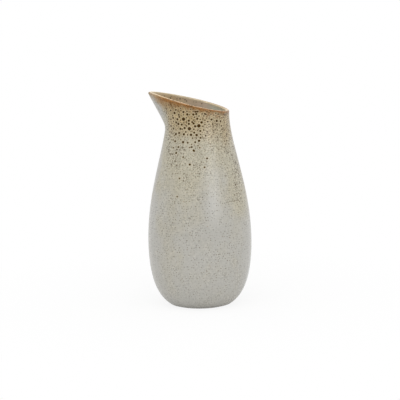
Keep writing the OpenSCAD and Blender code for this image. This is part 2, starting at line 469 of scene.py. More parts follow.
# %% [markdown]
# ## Outer glaze
#
# The outer coat is half a millimetre of melted glass. Its face follows the clay but not exactly: the
# wall wanders a little as it was turned, the glaze gathers into a thick roll above the bare foot,
# and each spot is a shallow crater. The relief is real geometry. Apart from the roll, which is far
# inside the belly's width, it goes inwards, so that the coat stays within the size of the frame.

# %% Outer glaze piece
WANDER = 0.05
CRATER = 0.12
CRATER_RIM = 0.8
ROLL_H = 3.0
ROLL_T = 0.12
LIP_FADE = 6.0
# The hidden face needs fewer rows
HIDDEN_ROWS = (24, 24, 8)
EDGE_ROWS = 7


def face_normals(points):
    """Cross product of the steps along the columns and along the rows."""
    along = np.roll(points, -1, 1) - np.roll(points, 1, 1)
    up = np.gradient(points, axis=0)
    normal = np.cross(along, up)
    return normal / np.linalg.norm(normal, axis=-1, keepdims=True)


def wander(z):
    """Slow waves round and up the wall, between 0 and -2 times the wander."""
    waves = np.sin(3 * angle + z / 31 + 1.0) + np.sin(2 * angle - z / 17) + np.sin(z / 8 + np.sin(angle))
    return WANDER * (waves / 3 - 1)


outer = outer_face(0.0)
outer_points = points_of(outer)
spot_edge = edge_of_spots(outer_points)
crater = -CRATER * np.clip(0.5 - spot_edge / CRATER_RIM, 0, 1) ** 2
roll = ROLL_T * np.clip(1 - (outer[1] - GLAZE_LINE) / ROLL_H, 0, 1)
relief = wander(outer[1]) + crater + roll
relief *= np.clip((crest_z - outer[1]) / LIP_FADE, 0, 1)
outer_points += face_normals(outer_points) * relief[..., None]
hidden = points_of(flipped(outer_face(GLAZE_T, *HIDDEN_ROWS)))
# The lower edge of the coat is half a circle between its two faces
edge_sweep = np.linspace(-np.pi / 2, np.pi / 2, EDGE_ROWS)[1:-1]
edge_middle = (outer_points[0] + hidden[-1]) / 2
edge_half = (outer_points[0] - hidden[-1]) / 2
down = np.cross(edge_half, np.roll(outer_points[0], -1, 0) - np.roll(outer_points[0], 1, 0))
down *= np.linalg.norm(edge_half, axis=-1, keepdims=True) / np.linalg.norm(down, axis=-1, keepdims=True)
edge_points = edge_middle + edge_half * np.sin(edge_sweep)[:, None, None]
edge_points = edge_points + down * np.cos(edge_sweep)[:, None, None]
outer_points = np.concatenate([edge_points, outer_points, hidden])
outer_coat = skin("outer_glaze_coat", outer_points)

# %% [markdown]
# ## Clouds in the glaze
#
# A reactive glaze lies thick in one place and thin in the next, so its iron gathers in broad clouds with no
# edge. Noise makes such clouds anywhere. On the side that faces the camera they are also placed as soft
# ovals: some richer or poorer in iron, and a few of warm tan or without it. Some of the poorer ones are
# painted reflection of the white surround, on the left and right sides of the belly and on the beak's side.
# One is partly painted sheen, where the upright sheen lies. There they leave the glaze paler, greyer and
# freer of specks. Each vertex carries the sum of the ovals and how far below the lip it lies, and the finish
# follows both. The face corners carry their place on the wall, so that specks can lie in the surface. A
# pattern in space would cut most of its round specks off centre, and they would run together into smudges.

# %% Clouds and marks
# Each oval is across, height, half width, half height and amount
IRON_AND_SHEEN_CLOUDS = [
    # Partly a paler run of glaze, partly painted sheen where the upright sheen lies on the belly
    (16, 122, 13, 50, -0.45),
    # Painted reflection of the white surround along the left side
    (-39, 140, 9, 38, -0.2),
    (-30, 189, 7, 25, 0.55),
    (41, 148, 6.5, 34, 0.6),
    # Painted reflection of the white surround on the beak's left side
    (-43, 212, 9, 16, -0.9),
    (-8, 86, 20, 26, -0.25),
    (33, 104, 14, 16, -0.2),
    (34, 62, 14, 18, -0.15),
    (-16, 48, 10, 26, 0.15),
    (24, 190, 12, 20, 0.35),
    (32, 172, 6, 20, 0.3),
    (-2, 202, 32, 11, 0.25),
    # Painted reflection of the white surround on the left and right sides of the belly
    (-52, 70, 7, 60, -0.4),
    (52, 72, 7, 60, -0.4),
    (45, 122, 8, 24, 0.45),
    (-14, 164, 15, 22, 0.15),
]
TAN_AND_SHEEN_CLOUDS = [
    (-13, 203, 16, 26, 0.85),
    (-29, 183, 7, 22, 0.75),
    (31, 172, 6, 20, 0.45),
    # Painted reflection of the white surround on the beak's left side, which takes the tan off there
    (-43, 210, 9, 15, -1.6),
]
FRONT_FADE = 6.0


def soft_ovals(points, ovals):
    """Sum of the ovals, each its amount times a bell curve, fading out where the wall turns away."""
    x, y, z = np.moveaxis(points, -1, 0)
    total = np.zeros_like(x)
    for across, height, half_width, half_height, amount in ovals:
        total += amount * np.exp(-((x - across) / half_width) ** 2 - ((z - height) / half_height) ** 2)
    return total * np.clip(-y / FRONT_FADE, 0, 1)


def mark_place_on_wall(piece, points):
    """Store how far round and how far up the wall each face corner is, in millimetres at the neck: the
    angle times the neck's radius, and the sum of steps up the outline times the neck's radius over the
    local one. Both stretch with the local radius, so that round stays round. Corners carry it because
    the pot closes on itself: the last column ends at a full turn, and the first one starts at none."""
    z = np.linspace(0, TIP_Z, FINE_STEPS)
    r = np.where(z < BELLY_Z, np.interp(z, low_line[:, 1], low_line[:, 0]), neck_radius(z))
    steps = np.hypot(np.gradient(r), np.gradient(z))
    up = np.interp(points[..., 2], z, np.cumsum(NECK_R * steps / r))
    above = np.roll(up, -1, 0)
    corner_up = np.stack([up, np.roll(up, -1, 1), np.roll(above, -1, 1), above], -1)
    end = np.append(angle[1:], 2 * np.pi)
    corner_round = np.broadcast_to(NECK_R * np.stack([angle, end, end, angle], -1), corner_up.shape)
    corners = np.stack([corner_round, corner_up, np.zeros_like(corner_up)], -1)
    mark(piece, "on_wall", corners, "FLOAT_VECTOR", "CORNER")


def mark_glaze(piece, points, inward):
    """Store what the reactive glaze follows: the place on the wall, the drop below the crest of the lip, the
    distance to the nearest spot, the cosine of the angle from the beak, the clouds of iron and of tan with
    the painted sheen among them, and how far over the lip the point lies."""
    mark_place_on_wall(piece, points)
    mark(piece, "rim_drop", crest_z - points[..., 2])
    mark(piece, "spot_edge", edge_of_spots(points))
    mark(piece, "beak_side", np.broadcast_to(np.cos(angle), points.shape[:2]))
    mark(piece, "iron_and_sheen_cloud", soft_ovals(points, IRON_AND_SHEEN_CLOUDS))
    mark(piece, "tan_and_sheen_cloud", soft_ovals(points, TAN_AND_SHEEN_CLOUDS))
    mark(piece, "inward", np.broadcast_to(inward, points.shape[:2]))


mark_glaze(outer_coat, outer_points, 0.0)
print("clouds of iron and of tan:", len(IRON_AND_SHEEN_CLOUDS), len(TAN_AND_SHEEN_CLOUDS))

# %% [markdown]
# ## Lip band
#
# Over the rounded lip the glaze runs thin, and the iron in it burns to rust. A pale line along the crest is
# a painted highlight, where the overhead light catches the lip. The band is a narrow saddle over the clay,
# half an ellipse in section.

# %% Lip band piece
CAP_ROWS = 24
over = np.linspace(0, np.pi, CAP_ROWS)
back = np.linspace(np.pi, 0, CAP_ROWS // 2)
lip_points = np.concatenate([points_of(lip_arc(0.0, over)), points_of(lip_arc(GLAZE_T, back))])
lip_band = skin("rim_glaze_band", lip_points)
mark_glaze(lip_band, lip_points, np.concatenate([over, back])[:, None] / np.pi)

# %% [markdown]
# ## Liner glaze
#
# The inside is lined with a plainer glaze, poured in, swirled and poured out. Faint throwing rings
# are left under it, deeper in the bowl than in the neck.

# %% Liner piece
RING_PITCH = 9.0
RING_DEPTH = 0.12
RING_FADE_UP = 60.0
RING_FADE_DOWN = 10.0
liner = inner_face(0.0)
rings = RING_DEPTH * (0.5 + 0.5 * np.cos(2 * np.pi * liner[1] / RING_PITCH + angle))
rings *= np.clip((SEAM_Z - liner[1]) / RING_FADE_UP, 0, 1)
rings *= np.clip((liner[1] - FLOOR_Z) / RING_FADE_DOWN, 0, 1)
liner_points = points_of(liner)
liner_points += face_normals(liner_points) * rings[..., None]
liner_back = points_of(inner_face(GLAZE_T, *HIDDEN_ROWS))
liner_points = np.concatenate([liner_back, liner_points[::-1]])
liner_poles = [(0, 0, FLOOR_Z - GLAZE_T), (0, 0, FLOOR_Z)]
liner_coat = skin("liner_glaze_coat", liner_points, liner_poles)
pole_drop = [crest_z.mean() - FLOOR_Z + GLAZE_T, crest_z.mean() - FLOOR_Z]
mark(liner_coat, "rim_drop", np.concatenate([(crest_z - liner_points[..., 2]).ravel(), pole_drop]))

# %% [markdown]
# ## Stoneware body
#
# The clay shows only at the foot: a bare ring, trimmed on the wheel and sponged soft at its edges,
# round a shallow recess. The rest of the body lies under its coats. Corners are softened by cutting
# them off and bridging each cut with a quadratic curve.

# %% Stoneware piece
EDGE_ROUND = 0.7
OUTLINE_STEP = 0.3
CLAY_GAP = 0.02
CLAY_DEPTH = GLAZE_T + CLAY_GAP
CLAY_OUTER_ROWS = (40, 40, 16)
CLAY_INNER_ROWS = (24, 24, 12)
CLAY_FOOT_R = FOOT_R - GLAZE_T / math.sin(FOOT_ANGLE)
RING_INNER_R = CLAY_FOOT_R - FOOT_RING_W
RECESS_R = RING_INNER_R - RECESS_H * math.tan(RECESS_DRAFT)


def softened(corners, cut, steps=8):
    """An outline whose inner corners are cut off at a distance and bridged by quadratic curves."""
    corners = np.asarray(corners, float)
    t = np.linspace(0, 1, steps)[:, None]
    line = [corners[:1]]
    for before, corner, after in zip(corners[:-2], corners[1:-1], corners[2:]):
        start = corner + cut * (before - corner) / np.linalg.norm(before - corner)
        end = corner + cut * (after - corner) / np.linalg.norm(after - corner)
        line.append((1 - t) ** 2 * start + 2 * t * (1 - t) * corner + t * t * end)
    line.append(corners[-1:])
    return np.concatenate(line)


def divided(line, step):
    """Points at even steps along an outline, so that no face is long and thin."""
    along = np.concatenate([[0], np.cumsum(np.linalg.norm(np.diff(line, axis=0), axis=1))])
    places = np.linspace(0, along[-1], int(along[-1] / step) + 1)
    return np.stack([np.interp(places, along, line[:, 0]), np.interp(places, along, line[:, 1])], 1)


clay_outside = outer_face(CLAY_DEPTH, *CLAY_OUTER_ROWS)
clay_start = (clay_outside[0][0, 0], clay_outside[1][0, 0])
foot_corners = [
    (POLE_R, RECESS_H),
    (RECESS_R, RECESS_H),
    (RING_INNER_R, 0),
    (CLAY_FOOT_R, 0),
    clay_start,
]
foot_line = divided(softened(foot_corners, EDGE_ROUND), OUTLINE_STEP)
clay_over = lip_arc(CLAY_DEPTH, np.linspace(0, np.pi, CAP_ROWS // 2))
clay_inside = flipped(inner_face(CLAY_DEPTH, *CLAY_INNER_ROWS))
clay_rows = joined(turned(foot_line[:-1]), clay_outside, clay_over, clay_inside)
clay_poles = [(0, 0, RECESS_H), (0, 0, FLOOR_Z - CLAY_DEPTH)]
stoneware = skin("stoneware_body", points_of(clay_rows), clay_poles)

# %% [markdown]
# ## Base glaze
#
# A patch of glaze was brushed into the recess, so that the underside can be washed. It is a disc with
# a thick, rounded edge where the glaze gathered against the recess wall. It is the outer glaze, far
# from the lip and its spots, so it is a plain grey with fine pepper.

# %% Base patch piece
PATCH_THIN = 0.7 * GLAZE_T
PATCH_ROLL_FOOT = 4.0
PATCH_ROLL_TOP = 1.5
PATCH_ROUND = 0.3
patch_z = RECESS_H - PATCH_THIN
patch_edge = RECESS_R + GLAZE_T * math.tan(RECESS_DRAFT)
patch_corners = [
    (POLE_R, patch_z),
    (RECESS_R - PATCH_ROLL_FOOT, patch_z),
    (RECESS_R - PATCH_ROLL_TOP, RECESS_H - GLAZE_T),
    (patch_edge, RECESS_H - GLAZE_T),
    (RECESS_R, RECESS_H),
]
patch_line = divided(softened(patch_corners, PATCH_ROUND), OUTLINE_STEP)
patch_back = np.stack([np.linspace(RECESS_R, POLE_R, FLAT_RINGS), np.full(FLAT_RINGS, RECESS_H)], 1)
patch_points = points_of(joined(turned(patch_line), turned(patch_back[1:])))
patch_poles = [(0, 0, patch_z), (0, 0, RECESS_H)]
base_patch = skin("base_glaze_patch", patch_points, patch_poles)
# The patch is flat, so its own x and y are its place on the wall
patch_places = np.concatenate([patch_points.reshape(-1, 3), patch_poles]) * (1, 1, 0)
mark(base_patch, "on_wall", patch_places, "FLOAT_VECTOR")
mark(base_patch, "rim_drop", np.full(len(patch_places), TIP_Z))
mark(base_patch, "spot_edge", np.full(len(patch_places), FAR_FROM_SPOTS))

# %% [markdown]
# ## Colours and nodes
#
# Colours are written as they look on a screen and turned to linear light once. One helper adds a node
# with its settings and links, so that each finish below reads as a recipe from top to bottom. In the
# recipes, the places 1 to 4 of a Map Range node are the range that it reads and the range that it gives,
# which is 0 to 1 where none is written. The places of a Mix node have names, because it has a set of
# sockets for each kind of data.

# %% Helpers for finishes
MIX_A = 6
MIX_B = 7
MIX_OUT = 2
SMOOTH = {"interpolation_type": "SMOOTHSTEP"}
# Noise has an average of one half and seldom leaves this range
NOISE_LOW = 0.3
NOISE_HIGH = 0.7


def linear(code):
    """sRGB hex to linear light: divide by 12.92 near black, and a power of 2.4 above."""
    parts = np.array([int(code[i:i + 2], 16) for i in (1, 3, 5)]) / 255
    light = np.where(parts <= 0.04045, parts / 12.92, ((parts + 0.055) / 1.055) ** 2.4)
    return (*light.tolist(), 1.0)


def add(tree, kind, links=None, **settings):
    """Add a node. Links are its inputs by name or place: a value, or another node's output."""
    node = tree.nodes.new(kind)
    for name, value in settings.items():
        setattr(node, name, value)
    for socket, value in (links or {}).items():
        if isinstance(value, bpy.types.NodeSocket):
            tree.links.new(value, node.inputs[socket])
        else:
            node.inputs[socket].default_value = value
    return node.outputs


def new_finish(name):
    """An empty material, its node tree, and the place on the piece in millimetres."""
    material = bpy.data.materials.new(name)
    material.use_nodes = True
    tree = material.node_tree
    tree.nodes.clear()
    place = add(tree, "ShaderNodeTexCoord")["Object"]
    place_mm = add(tree, "ShaderNodeVectorMath", {0: place, "Scale": 1 / MM}, operation="SCALE")[0]
    return material, tree, place_mm


print("middle grey in linear light:", round(linear("#808080")[0], 3))

# %% [markdown]
# ## Reactive glaze
#
# A reactive glaze is one recipe that looks different wherever it is thick, thin or rich in iron. So the
# outer coat, the lip and the base patch share one finish. It follows the height, the drop below the lip,
# the clouds that the vertices carry, and noise for slower clouds and for faint streaks that run down the
# wall as the glaze did in the kiln. The node tree is built in stages: first the iron content, then the
# ground colour, then the lip, then the specks and spots, and last the surface itself.

# %% Reactive glaze, iron content
CLOUD_SIZE = 24.0
CLUMP_SIZE = 11.0
STREAK_WIDTH = 7.0
STREAK_LENGTH = 5.0
STREAK_SHARE = 0.5
POOR_Z = 25.0
RICH_Z = 205.0
PATCHINESS = 0.9
# The front of the beak is kept clean of iron, partly where the glaze ran off and partly as a painted
# reflection of the white surround, from this cosine of the angle from the beak, with an uneven edge
CLEAN_FROM = 0.82
CLEAN_UNEVEN = 0.25
CLEAN_LOSS = 0.45
MARKS = ("rim_drop", "spot_edge", "beak_side", "inward", "iron_and_sheen_cloud", "tan_and_sheen_cloud")
reactive, tree, place_mm = new_finish("satin_reactive_glaze")
axes = add(tree, "ShaderNodeSeparateXYZ", {0: place_mm})
marks = [add(tree, "ShaderNodeAttribute", attribute_name=name)["Fac"] for name in MARKS]
drop, edge, beak_side, inward, iron_and_sheen_cloud, tan_and_sheen_cloud = marks
clouds = add(tree, "ShaderNodeTexNoise", {"Vector": place_mm, "Scale": 1 / CLOUD_SIZE, "Detail": 2.0})[0]
clumps = add(tree, "ShaderNodeTexNoise", {"Vector": place_mm, "Scale": 1 / CLUMP_SIZE, "Detail": 3.0})[0]
run = add(tree, "ShaderNodeVectorMath", {0: place_mm, 1: (1, 1, 1 / STREAK_LENGTH)}, operation="MULTIPLY")[0]
streaks = add(tree, "ShaderNodeTexNoise", {"Vector": run, "Scale": 1 / STREAK_WIDTH, "Detail": 3.0})[0]
slow = add(tree, "ShaderNodeMath", {0: streaks, 1: STREAK_SHARE, 2: clouds}, operation="MULTIPLY_ADD")[0]
patchy = add(tree, "ShaderNodeMath", {0: slow, 1: 0.5 + STREAK_SHARE / 2}, operation="SUBTRACT")[0]
rise = add(tree, "ShaderNodeMapRange", {"Value": axes["Z"], 1: POOR_Z, 2: RICH_Z})[0]
iron = add(tree, "ShaderNodeMath", {0: patchy, 1: PATCHINESS, 2: rise}, operation="MULTIPLY_ADD")[0]
facing = add(tree, "ShaderNodeMath", {0: patchy, 1: -CLEAN_UNEVEN, 2: beak_side},
             operation="MULTIPLY_ADD")[0]
# Partly glaze that ran off, partly painted reflection of the white surround on the beak's sides
clean_and_sheen = add(tree, "ShaderNodeMapRange", {"Value": facing, 1: CLEAN_FROM, 2: 1.0}, **SMOOTH)[0]
iron = add(tree, "ShaderNodeMath", {0: clean_and_sheen, 1: -CLEAN_LOSS, 2: iron}, operation="MULTIPLY_ADD")[0]
# The ovals add or take away iron, and where they paint reflection or sheen they take it away
iron = add(tree, "ShaderNodeMath", {0: iron, 1: iron_and_sheen_cloud}, operation="ADD")[0]
print("nodes for the iron content:", len(tree.nodes))

# %% [markdown]
# The ground goes from grey through olive to tan as the iron rises. Under the beak that side stays grey:
# partly where the glaze ran off, partly as a painted reflection of the white surround. The tan ends higher
# or lower where the glaze is patchy or has a cloud of tan.

# %% Reactive glaze, ground
POT_GREY = "#b7b5ae"
OLIVE = "#b8b29f"
TAN = "#bba478"
OLIVE_FROM = -0.1
OLIVE_FULL = 0.85
# How far below the crest the tan ends and is full, in mm, and how far three things shift that
TAN_END = 44.0
TAN_FULL = 8.0
TAN_BY_PATCH = 24.0
TAN_OFF_BEAK = 22.0
TAN_BY_CLOUD = 9.0
TAN_SHARE = 0.65
olive_share = add(tree, "ShaderNodeMapRange", {"Value": iron, 1: OLIVE_FROM, 2: OLIVE_FULL}, **SMOOTH)[0]
near = add(tree, "ShaderNodeMath", {0: patchy, 1: -TAN_BY_PATCH, 2: drop}, operation="MULTIPLY_ADD")[0]
near = add(tree, "ShaderNodeMath", {0: clean_and_sheen, 1: TAN_OFF_BEAK, 2: near}, operation="MULTIPLY_ADD")[0]
near = add(tree, "ShaderNodeMath", {0: tan_and_sheen_cloud, 1: -TAN_BY_CLOUD, 2: near}, operation="MULTIPLY_ADD")[0]
strongest = add(tree, "ShaderNodeMapRange", {"Value": tan_and_sheen_cloud, 3: TAN_SHARE, 4: 1.0})[0]
tan_share = add(tree, "ShaderNodeMapRange",
                {"Value": near, 1: TAN_END, 2: TAN_FULL, 3: 0.0, 4: strongest}, **SMOOTH)[0]
ground = linear(POT_GREY)
for share, colour in [(olive_share, OLIVE), (tan_share, TAN)]:
    ground = add(tree, "ShaderNodeMix", {0: share, MIX_A: ground, MIX_B: linear(colour)},
                 data_type="RGBA")[MIX_OUT]
print("nodes with the ground:", len(tree.nodes))

# %% [markdown]
# Below the lip the wall is scorched brown and burnt to rust along a ragged edge, deeper beside the beak
# than at the back, and weaker at the tip itself. Flecks of red iron lie there too, rarer further down.

# %% Reactive glaze, burnt lip
SCORCH = "#a2865d"
RED_IRON = "#8c5f33"
RUST = "#96662e"
RAGGED_SIZE = 5.0
RAGGEDNESS = 2.0
# The burn is weak at the tip of the beak, and grows to full strength at a place across, in mm
TIP_X = -50.0
FULL_BURN_X = -37.0
TIP_BURN = 0.35
RUST_TIP_X = -44.0
FULL_RUST_X = -32.0
TIP_RUST = 0.25
# How deep the burn reaches beside the beak and from the middle to the back, in mm
BEAK_SIDE_X = -40.0
BEAK_REACH = 7.5
BACK_REACH = 3.3
# Shares of that reach, less the raggedness, at which scorch and rust begin and are full
SCORCH_FROM = 1.4
SCORCH_FULL = -0.4
RUST_FROM = 0.0
RUST_FULL = -0.6
BURN_SHARE = 0.95
# Flecks pass a bar in the noise, which is higher further below the crest
FLECK_SIZE = 2.2
FLECK_NEAR = 2.0
FLECK_FAR = 16.0
FLECK_BAR_NEAR = 0.46
FLECK_BAR_FAR = 0.72
FLECK_SOFT = 0.03
FLECK_FULL = 0.08
FLECK_SHARE = 0.6
off_tip = add(tree, "ShaderNodeMapRange",
              {"Value": axes["X"], 1: TIP_X, 2: FULL_BURN_X, 3: TIP_BURN, 4: 1.0}, **SMOOTH)[0]
ragged = add(tree, "ShaderNodeTexNoise", {"Vector": place_mm, "Scale": 1 / RAGGED_SIZE, "Detail": 4.0})[0]
reach = add(tree, "ShaderNodeMapRange",
            {"Value": axes["X"], 1: BEAK_SIDE_X, 2: 0.0, 3: BEAK_REACH, 4: BACK_REACH})[0]
reach = add(tree, "ShaderNodeMath", {0: reach, 1: off_tip}, operation="MULTIPLY")[0]
depth_share = add(tree, "ShaderNodeMath", {0: drop, 1: reach}, operation="DIVIDE")[0]
burn = add(tree, "ShaderNodeMath", {0: ragged, 1: -RAGGEDNESS, 2: depth_share}, operation="MULTIPLY_ADD")[0]
scorch_share = add(tree, "ShaderNodeMapRange",
                   {"Value": burn, 1: SCORCH_FROM, 2: SCORCH_FULL, 3: 0.0, 4: BURN_SHARE}, **SMOOTH)[0]
scorch_share = add(tree, "ShaderNodeMath", {0: scorch_share, 1: off_tip}, operation="MULTIPLY")[0]
flecks = add(tree, "ShaderNodeTexNoise", {"Vector": place_mm, "Scale": 1 / FLECK_SIZE, "Detail": 2.0})[0]
bar = add(tree, "ShaderNodeMapRange",
          {"Value": drop, 1: FLECK_NEAR, 2: FLECK_FAR, 3: FLECK_BAR_NEAR, 4: FLECK_BAR_FAR})[0]
past_bar = add(tree, "ShaderNodeMath", {0: flecks, 1: bar}, operation="SUBTRACT")[0]
fleck_share = add(tree, "ShaderNodeMapRange",
                  {"Value": past_bar, 1: -FLECK_SOFT, 2: FLECK_FULL, 3: 0.0, 4: FLECK_SHARE})[0]
fleck_share = add(tree, "ShaderNodeMath", {0: fleck_share, 1: off_tip}, operation="MULTIPLY")[0]
rust_share = add(tree, "ShaderNodeMapRange",
                 {"Value": burn, 1: RUST_FROM, 2: RUST_FULL, 3: 0.0, 4: BURN_SHARE}, **SMOOTH)[0]
off_beak = add(tree, "ShaderNodeMapRange",
               {"Value": axes["X"], 1: RUST_TIP_X, 2: FULL_RUST_X, 3: TIP_RUST, 4: 1.0}, **SMOOTH)[0]
rust_share = add(tree, "ShaderNodeMath", {0: rust_share, 1: off_beak}, operation="MULTIPLY")[0]
for share, colour in [(scorch_share, SCORCH), (fleck_share, RED_IRON), (rust_share, RUST)]:
    ground = add(tree, "ShaderNodeMix", {0: share, MIX_A: ground, MIX_B: linear(colour)},
                 data_type="RGBA")[MIX_OUT]
print("nodes with the burnt lip:", len(tree.nodes))

# %% [markdown]
# Along the crest runs a painted highlight, where the overhead light catches the rounded lip: honey-coloured
# along the near side, cream at the tip, and fainter on the far side. Beyond the crest the lip takes the
# beige of the liner.

# %% Reactive glaze, crest of the lip
# Colours of the painted highlight along the crest
CREAM_HIGHLIGHT = "#ecdfc4"
HONEY_HIGHLIGHT = "#ead0a8"
LIP_INSIDE = "#c4b494"
# Shares of the way over the lip at which the beige begins and is full
LIP_TOP = 0.5
LIP_OVER = 0.72
# The painted highlight on the crest is strongest at the tip, weaker along the side, and weakest on the far
# side
GLINT_TIP_X = -48.0
SIDE_X = -38.0
SIDE_GLINT = 0.75
NEAR_Y = 4.0
FAR_Y = 14.0
FAR_GLINT = 0.35
# Drops below the crest in mm at which its painted highlight ends and is full
CREST_EDGE = 0.45
CREST_FULL = 0.1
within = add(tree, "ShaderNodeMapRange", {"Value": inward, 1: LIP_TOP, 2: LIP_OVER}, **SMOOTH)[0]
pale = add(tree, "ShaderNodeMix", {0: off_tip, MIX_A: linear(CREAM_HIGHLIGHT), MIX_B: linear(HONEY_HIGHLIGHT)},
           data_type="RGBA")[MIX_OUT]
crest_glint = add(tree, "ShaderNodeMapRange", {"Value": axes["X"], 1: GLINT_TIP_X, 2: SIDE_X, 3: 1.0, 4: SIDE_GLINT})[0]
far = add(tree, "ShaderNodeMapRange", {"Value": axes["Y"], 1: NEAR_Y, 2: FAR_Y, 3: 1.0, 4: FAR_GLINT})[0]
crest_glint = add(tree, "ShaderNodeMath", {0: crest_glint, 1: far}, operation="MULTIPLY")[0]
# The painted highlight lies within half a millimetre below the crest
crest = add(tree, "ShaderNodeMapRange", {"Value": drop, 1: CREST_EDGE, 2: CREST_FULL}, **SMOOTH)[0]
crest = add(tree, "ShaderNodeMath", {0: crest, 1: crest_glint}, operation="MULTIPLY")[0]
for share, colour in [(within, linear(LIP_INSIDE)), (crest, pale)]:
    ground = add(tree, "ShaderNodeMix", {0: share, MIX_A: ground, MIX_B: colour}, data_type="RGBA")[MIX_OUT]
print("nodes with the crest:", len(tree.nodes))

# %% [markdown]
# How rich the glaze is decides how many specks it holds: richer below the lip and in clumps, poorer where
# it is scorched. Between the specks it is mottled like foam, more strongly where it is rich.

# %% Reactive glaze, richness and foam
# Drops below the crest in mm at which the lip's own iron ends and is full
RIM_RICH_END = 45.0
RIM_RICH_FULL = 12.0
RIM_RICH = 0.45
CLUMPING = 2.4
SCORCH_LOSS = 0.5
RICHEST = 1.3
MOTTLE_SIZE = 1.7
FOAM_POOR = 0.45
FOAM_RICH = 1.9
rim_rich = add(tree, "ShaderNodeMapRange",
               {"Value": drop, 1: RIM_RICH_END, 2: RIM_RICH_FULL, 3: 0.0, 4: RIM_RICH})[0]
rich = add(tree, "ShaderNodeMath", {0: iron, 1: rim_rich}, operation="ADD")[0]
rich = add(tree, "ShaderNodeMath", {0: clumps, 1: CLUMPING, 2: rich}, operation="MULTIPLY_ADD")[0]
rich = add(tree, "ShaderNodeMath", {0: rich, 1: CLUMPING / 2}, operation="SUBTRACT")[0]
rich = add(tree, "ShaderNodeMath", {0: scorch_share, 1: -SCORCH_LOSS, 2: rich}, operation="MULTIPLY_ADD")[0]
mottle = add(tree, "ShaderNodeTexNoise",
             {"Vector": place_mm, "Scale": 1 / MOTTLE_SIZE, "Detail": 3.0, "Roughness": 0.65})[0]
foam = add(tree, "ShaderNodeMapRange", {"Value": rich, 1: 0.0, 2: RICHEST, 3: FOAM_POOR, 4: FOAM_RICH})[0]
mottle = add(tree, "ShaderNodeMath", {0: mottle, 1: 0.5}, operation="SUBTRACT")[0]
mottle = add(tree, "ShaderNodeMath", {0: mottle, 1: foam, 2: 1.0}, operation="MULTIPLY_ADD")[0]
ground = add(tree, "ShaderNodeVectorMath", {0: ground, "Scale": mottle}, operation="SCALE")[0]
print("nodes with the foam:", len(tree.nodes))

# %% [markdown]
# Specks are cells of a flat Voronoi pattern laid on the wall, each with its own radius, present in more of
# the cells where the glaze is rich. Three sizes of cell give fine pepper, dots, and the larger dots under
# the lip. The cells grow with the pot's radius, so on the belly the specks are made smaller in their cells.

# %% Reactive glaze, specks
WOBBLE_SIZE = 1.1
WOBBLE = 0.9
SPECK_DISORDER = 0.85
FULL_SPECK_Z = 205.0
SMALL_SPECK_Z = 90.0
SMALL_SPECK = 0.8
POOREST = -0.5
FAINTEST = 0.6
# The soft edge of a speck outside and inside its radius, in shares of a cell
SOFT_OUT = 0.05
SOFT_IN = 0.07
# Each layer is the cell, the smallest and largest radius in mm, the strength, and the share of cells
# that hold a speck where the glaze is poorest and where it is richest. Below 0 there is none yet
SPECK_LAYERS = [
    (1.6, 0.3, 0.5, 1.0, 0.34, 1.0),
    (3.2, 0.45, 0.85, 0.85, -0.9, 0.9),
    (5.5, 0.7, 1.15, 0.95, -2.5, 0.7),
]
wobble = add(tree, "ShaderNodeTexNoise",
             {"Vector": place_mm, "Scale": 1 / WOBBLE_SIZE, "Detail": 2.0})["Color"]
wobble = add(tree, "ShaderNodeVectorMath", {0: wobble, 1: (0.5, 0.5, 0.5)}, operation="SUBTRACT")[0]
on_wall_mm = add(tree, "ShaderNodeAttribute", attribute_name="on_wall")["Vector"]
uneven = add(tree, "ShaderNodeVectorMath", {0: wobble, 1: (WOBBLE, WOBBLE, WOBBLE), 2: on_wall_mm},
             operation="MULTIPLY_ADD")[0]
finer = add(tree, "ShaderNodeMapRange",
            {"Value": axes["Z"], 1: FULL_SPECK_Z, 2: SMALL_SPECK_Z, 3: 1.0, 4: SMALL_SPECK})[0]
dark = 0.0
for cell, smallest, largest, strength, rare, common in SPECK_LAYERS:
    cells = add(tree, "ShaderNodeTexVoronoi",
                {"Vector": uneven, "Scale": 1 / cell, "Randomness": SPECK_DISORDER}, voronoi_dimensions="2D")
    chance = add(tree, "ShaderNodeSeparateColor", {0: cells["Color"]})
    richer = add(tree, "ShaderNodeMapRange", {"Value": rich, 1: POOREST, 2: RICHEST, 3: rare, 4: common})[0]
    present = add(tree, "ShaderNodeMath", {0: chance[1], 1: richer}, operation="LESS_THAN")[0]
    tone = add(tree, "ShaderNodeMapRange", {"Value": chance[2], 3: FAINTEST * strength, 4: strength})[0]
    tone = add(tree, "ShaderNodeMath", {0: tone, 1: present}, operation="MULTIPLY")[0]
    radius = add(tree, "ShaderNodeMapRange", {"Value": chance[0], 3: smallest / cell, 4: largest / cell})[0]
    radius = add(tree, "ShaderNodeMath", {0: radius, 1: finer}, operation="MULTIPLY")[0]
    inside = add(tree, "ShaderNodeMath", {0: radius, 1: cells["Distance"]}, operation="SUBTRACT")[0]
    dot = add(tree, "ShaderNodeMapRange", {"Value": inside, 1: -SOFT_OUT, 2: SOFT_IN, 3: 0.0, 4: tone})[0]
    dark = add(tree, "ShaderNodeMath", {0: dark, 1: dot}, operation="MAXIMUM")[0]
print("nodes with the specks:", len(tree.nodes))

# %% [markdown]
# The largest spots come from the distance to their edge that the vertices carry, made a little ragged. A
# pale ring lies round each, which the specks leave clear. Specks are darkest where the glaze is rich, and
# neither specks nor spots go over the lip.

# %% Reactive glaze, spots
IRON = "#46300b"
HALO = "#c9bc9c"
# Richness from which specks darken and at which they are darkest
DARKEN_FROM = 0.7
DARKEN_FULL = 1.5
DARK_POOR = 0.58
DARK_RICH = 1.2
HALO_SHARE = 0.4
